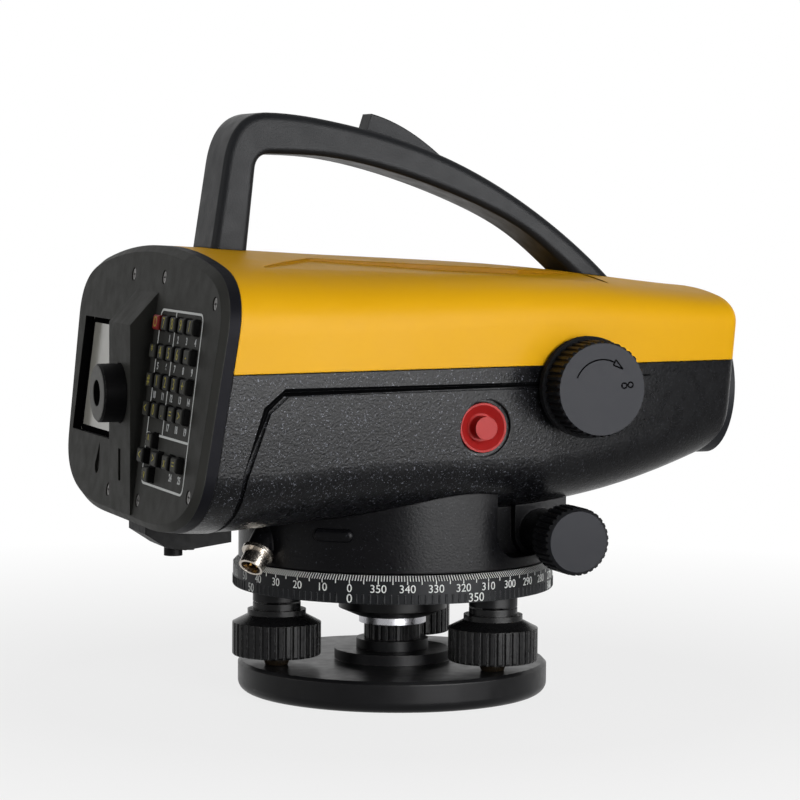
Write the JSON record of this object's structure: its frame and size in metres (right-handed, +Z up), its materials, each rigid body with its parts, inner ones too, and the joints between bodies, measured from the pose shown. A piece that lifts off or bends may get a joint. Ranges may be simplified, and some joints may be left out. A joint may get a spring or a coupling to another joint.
{
  "type": "digital surveying level",
  "caption": "Digital surveying level on a levelling base with foot screws and graduated circle; tapered body with telescope, display, keypad, focusing knob and carrying handle.",
  "frame": {"origin": "mouth of the tripod thread, on the vertical axis at the underside of the base plate", "axes": "+Z up along the vertical axis, +X along the line of sight towards the objective, -Y on the side of the focusing knob"},
  "size_m": [0.2515, 0.1972, 0.2225],
  "materials": {
    "black_paint": "satin black paint on cast aluminium",
    "speckled_paint": "hammered black paint on cast aluminium",
    "yellow_cover": "satin moulded plastic",
    "panel_plastic": "fine grained moulded plastic",
    "black_plastic": "fine grained moulded plastic",
    "black_knob": "ribbed moulded plastic",
    "foot_knob": "black anodised",
    "circle_black": "black anodised with white graduation",
    "black_ring": "black anodised",
    "anodised_tube": "black anodised",
    "steel": "turned steel",
    "nickel": "nickel plated",
    "brass": "turned brass",
    "display_glass": "grey display behind a clear window",
    "board": "green circuit board",
    "lens_glass": "coated glass",
    "prism_mount": "prism in a brass frame",
    "eyepiece": "black moulded ring",
    "red_button": "satin red plastic",
    "battery_case": "battery case",
    "black_key": "moulded rubber",
    "red_key": "moulded rubber"
  },
  "bodies": {
    "base": {"base_plate": "black_paint", "guide_pin": "steel"},
    "foot_1": {"foot_screw_1": "foot_knob"},
    "foot_2": {"foot_screw_2": "foot_knob"},
    "foot_3": {"foot_screw_3": "foot_knob"},
    "head": {"levelling_head": "black_paint", "axis_spindle": "steel"},
    "circle": {"circle_ring": "circle_black"},
    "alidade": {"alidade_base": "black_paint", "data_socket": "nickel", "lower_housing": "speckled_paint", "upper_cover": "yellow_cover", "rear_panel": "panel_plastic", "panel_screws": "steel", "display": "display_glass", "main_board": "board", "handle": "black_plastic", "telescope_tube": "anodised_tube", "objective_cell": "black_ring", "objective_lens": "lens_glass", "image_sensor": "board", "eyepiece_lens": "lens_glass", "battery": "battery_case", "level_holder": "black_plastic"},
    "drive": {"drive_shaft": "steel", "drive_knobs": "black_knob"},
    "wheel": {"worm_wheel": "brass"},
    "focus": {"focus_knob": "black_knob"},
    "focus_slide": {"focus_cell": "anodised_tube", "focus_lens": "lens_glass"},
    "compensator": {"compensator_pendulum": "prism_mount"},
    "eyepiece": {"eyepiece_ring": "eyepiece"},
    "button": {"measure_button": "red_button"},
    "door": {"battery_door": "speckled_paint"},
    "key_power_body": {"key_power": "red_key"},
    "key_row1_col2_body": {"key_row1_col2": "black_key"},
    "key_row1_col3_body": {"key_row1_col3": "black_key"},
    "key_row1_col4_body": {"key_row1_col4": "black_key"},
    "key_row1_col5_body": {"key_row1_col5": "black_key"},
    "key_row2_col1_body": {"key_row2_col1": "black_key"},
    "key_row2_col2_body": {"key_row2_col2": "black_key"},
    "key_row2_col3_body": {"key_row2_col3": "black_key"},
    "key_row2_col4_body": {"key_row2_col4": "black_key"},
    "key_row2_col5_body": {"key_row2_col5": "black_key"},
    "key_row3_col1_body": {"key_row3_col1": "black_key"},
    "key_row3_col2_body": {"key_row3_col2": "black_key"},
    "key_row3_col3_body": {"key_row3_col3": "black_key"},
    "key_row3_col4_body": {"key_row3_col4": "black_key"},
    "key_row3_col5_body": {"key_row3_col5": "black_key"},
    "key_row4_col1_body": {"key_row4_col1": "black_key"},
    "key_row4_col2_body": {"key_row4_col2": "black_key"},
    "key_row4_col3_body": {"key_row4_col3": "black_key"},
    "key_row4_col4_body": {"key_row4_col4": "black_key"},
    "key_row4_col5_body": {"key_row4_col5": "black_key"},
    "key_up_body": {"key_up": "black_key"},
    "key_left_body": {"key_left": "black_key"},
    "key_right_body": {"key_right": "black_key"},
    "key_down_body": {"key_down": "black_key"},
    "key_cancel_body": {"key_cancel": "black_key"},
    "key_enter_body": {"key_enter": "black_key"}
  },
  "joints": [
    {"name": "foot_screw_1_turn", "type": "hinge", "parent": "base", "child": "foot_1", "pos_m": [0.02565, -0.04057, 0.0145], "axis": [0, 0, 1], "range_deg": [0, 1800]},
    {"name": "foot_screw_2_turn", "type": "hinge", "parent": "base", "child": "foot_2", "pos_m": [0.02231, 0.0425, 0.0145], "axis": [0, 0, 1], "range_deg": [0, 1800]},
    {"name": "foot_screw_3_turn", "type": "hinge", "parent": "base", "child": "foot_3", "pos_m": [-0.04796, -0.00193, 0.0145], "axis": [0, 0, 1], "range_deg": [0, 1800]},
    {"name": "levelling_lift", "type": "slide", "parent": "base", "child": "head", "axis": [0, 0, 1], "range_m": [0, 0.005]},
    {"name": "circle_turn", "type": "hinge", "parent": "head", "child": "circle", "pos_m": [0, 0, 0.0465], "axis": [0, 0, 1], "continuous": true},
    {"name": "alidade_turn", "type": "hinge", "parent": "head", "child": "alidade", "pos_m": [0, 0, 0.06], "axis": [0, 0, 1], "continuous": true},
    {"name": "drive_turn", "type": "hinge", "parent": "alidade", "child": "drive", "pos_m": [0.045, 0, 0.0642], "axis": [0, -1, 0], "continuous": true},
    {"name": "wheel_turn", "type": "hinge", "parent": "alidade", "child": "wheel", "pos_m": [0, 0, 0.0642], "axis": [0, 0, 1], "continuous": true},
    {"name": "focus_turn", "type": "hinge", "parent": "alidade", "child": "focus", "pos_m": [0.0515, -0.07, 0.121], "axis": [0, -1, 0], "range_deg": [-171, 171]},
    {"name": "focus_travel", "type": "slide", "parent": "alidade", "child": "focus_slide", "axis": [1, 0, 0], "range_m": [-0.0119, 0.0119]},
    {"name": "compensator_swing", "type": "hinge", "parent": "alidade", "child": "compensator", "pos_m": [-0.032, 0, 0.131], "axis": [0, 1, 0], "range_deg": [-1, 1]},
    {"name": "eyepiece_turn", "type": "hinge", "parent": "alidade", "child": "eyepiece", "pos_m": [-0.112, 0, 0.117], "axis": [-1, 0, 0], "range_deg": [-170, 170]},
    {"name": "measure_press", "type": "slide", "parent": "alidade", "child": "button", "axis": [0, 1, 0], "range_m": [0, 0.0015], "stiffness_N_per_m": 500, "springref_m": -0.0008},
    {"name": "door_swing", "type": "hinge", "parent": "alidade", "child": "door", "pos_m": [-0.05186, 0.08145, 0.0914], "axis": [-0.9725, 0.2327, 0], "range_deg": [0, 100]},
    {"name": "key_power_press", "type": "slide", "parent": "alidade", "child": "key_power_body", "axis": [0.9925, 0, -0.1219], "range_m": [0, 0.001], "stiffness_N_per_m": 400, "springref_m": -0.0006},
    {"name": "key_row1_col2_press", "type": "slide", "parent": "alidade", "child": "key_row1_col2_body", "axis": [0.9925, 0, -0.1219], "range_m": [0, 0.001], "stiffness_N_per_m": 400, "springref_m": -0.0006},
    {"name": "key_row1_col3_press", "type": "slide", "parent": "alidade", "child": "key_row1_col3_body", "axis": [0.9925, 0, -0.1219], "range_m": [0, 0.001], "stiffness_N_per_m": 400, "springref_m": -0.0006},
    {"name": "key_row1_col4_press", "type": "slide", "parent": "alidade", "child": "key_row1_col4_body", "axis": [0.9925, 0, -0.1219], "range_m": [0, 0.001], "stiffness_N_per_m": 400, "springref_m": -0.0006},
    {"name": "key_row1_col5_press", "type": "slide", "parent": "alidade", "child": "key_row1_col5_body", "axis": [0.9925, 0, -0.1219], "range_m": [0, 0.001], "stiffness_N_per_m": 400, "springref_m": -0.0006},
    {"name": "key_row2_col1_press", "type": "slide", "parent": "alidade", "child": "key_row2_col1_body", "axis": [0.9925, 0, -0.1219], "range_m": [0, 0.001], "stiffness_N_per_m": 400, "springref_m": -0.0006},
    {"name": "key_row2_col2_press", "type": "slide", "parent": "alidade", "child": "key_row2_col2_body", "axis": [0.9925, 0, -0.1219], "range_m": [0, 0.001], "stiffness_N_per_m": 400, "springref_m": -0.0006},
    {"name": "key_row2_col3_press", "type": "slide", "parent": "alidade", "child": "key_row2_col3_body", "axis": [0.9925, 0, -0.1219], "range_m": [0, 0.001], "stiffness_N_per_m": 400, "springref_m": -0.0006},
    {"name": "key_row2_col4_press", "type": "slide", "parent": "alidade", "child": "key_row2_col4_body", "axis": [0.9925, 0, -0.1219], "range_m": [0, 0.001], "stiffness_N_per_m": 400, "springref_m": -0.0006},
    {"name": "key_row2_col5_press", "type": "slide", "parent": "alidade", "child": "key_row2_col5_body", "axis": [0.9925, 0, -0.1219], "range_m": [0, 0.001], "stiffness_N_per_m": 400, "springref_m": -0.0006},
    {"name": "key_row3_col1_press", "type": "slide", "parent": "alidade", "child": "key_row3_col1_body", "axis": [0.9925, 0, -0.1219], "range_m": [0, 0.001], "stiffness_N_per_m": 400, "springref_m": -0.0006},
    {"name": "key_row3_col2_press", "type": "slide", "parent": "alidade", "child": "key_row3_col2_body", "axis": [0.9925, 0, -0.1219], "range_m": [0, 0.001], "stiffness_N_per_m": 400, "springref_m": -0.0006},
    {"name": "key_row3_col3_press", "type": "slide", "parent": "alidade", "child": "key_row3_col3_body", "axis": [0.9925, 0, -0.1219], "range_m": [0, 0.001], "stiffness_N_per_m": 400, "springref_m": -0.0006},
    {"name": "key_row3_col4_press", "type": "slide", "parent": "alidade", "child": "key_row3_col4_body", "axis": [0.9925, 0, -0.1219], "range_m": [0, 0.001], "stiffness_N_per_m": 400, "springref_m": -0.0006},
    {"name": "key_row3_col5_press", "type": "slide", "parent": "alidade", "child": "key_row3_col5_body", "axis": [0.9925, 0, -0.1219], "range_m": [0, 0.001], "stiffness_N_per_m": 400, "springref_m": -0.0006},
    {"name": "key_row4_col1_press", "type": "slide", "parent": "alidade", "child": "key_row4_col1_body", "axis": [0.9925, 0, -0.1219], "range_m": [0, 0.001], "stiffness_N_per_m": 400, "springref_m": -0.0006},
    {"name": "key_row4_col2_press", "type": "slide", "parent": "alidade", "child": "key_row4_col2_body", "axis": [0.9925, 0, -0.1219], "range_m": [0, 0.001], "stiffness_N_per_m": 400, "springref_m": -0.0006},
    {"name": "key_row4_col3_press", "type": "slide", "parent": "alidade", "child": "key_row4_col3_body", "axis": [0.9925, 0, -0.1219], "range_m": [0, 0.001], "stiffness_N_per_m": 400, "springref_m": -0.0006},
    {"name": "key_row4_col4_press", "type": "slide", "parent": "alidade", "child": "key_row4_col4_body", "axis": [0.9925, 0, -0.1219], "range_m": [0, 0.001], "stiffness_N_per_m": 400, "springref_m": -0.0006},
    {"name": "key_row4_col5_press", "type": "slide", "parent": "alidade", "child": "key_row4_col5_body", "axis": [0.9925, 0, -0.1219], "range_m": [0, 0.001], "stiffness_N_per_m": 400, "springref_m": -0.0006},
    {"name": "key_up_press", "type": "slide", "parent": "alidade", "child": "key_up_body", "axis": [0.9925, 0, -0.1219], "range_m": [0, 0.001], "stiffness_N_per_m": 400, "springref_m": -0.0006},
    {"name": "key_left_press", "type": "slide", "parent": "alidade", "child": "key_left_body", "axis": [0.9925, 0, -0.1219], "range_m": [0, 0.001], "stiffness_N_per_m": 400, "springref_m": -0.0006},
    {"name": "key_right_press", "type": "slide", "parent": "alidade", "child": "key_right_body", "axis": [0.9925, 0, -0.1219], "range_m": [0, 0.001], "stiffness_N_per_m": 400, "springref_m": -0.0006},
    {"name": "key_down_press", "type": "slide", "parent": "alidade", "child": "key_down_body", "axis": [0.9925, 0, -0.1219], "range_m": [0, 0.001], "stiffness_N_per_m": 400, "springref_m": -0.0006},
    {"name": "key_cancel_press", "type": "slide", "parent": "alidade", "child": "key_cancel_body", "axis": [0.9925, 0, -0.1219], "range_m": [0, 0.001], "stiffness_N_per_m": 400, "springref_m": -0.0006},
    {"name": "key_enter_press", "type": "slide", "parent": "alidade", "child": "key_enter_body", "axis": [0.9925, 0, -0.1219], "range_m": [0, 0.001], "stiffness_N_per_m": 400, "springref_m": -0.0006}
  ],
  "couplings": [
    {"joint": "foot_screw_1_turn", "follows": "levelling_lift", "rad_per_m": 6283.2},
    {"joint": "foot_screw_2_turn", "follows": "levelling_lift", "rad_per_m": 6283.2},
    {"joint": "foot_screw_3_turn", "follows": "levelling_lift", "rad_per_m": 6283.2},
    {"joint": "wheel_turn", "follows": "drive_turn", "ratio": 0.011111},
    {"joint": "focus_turn", "follows": "focus_travel", "rad_per_m": 250}
  ]
}
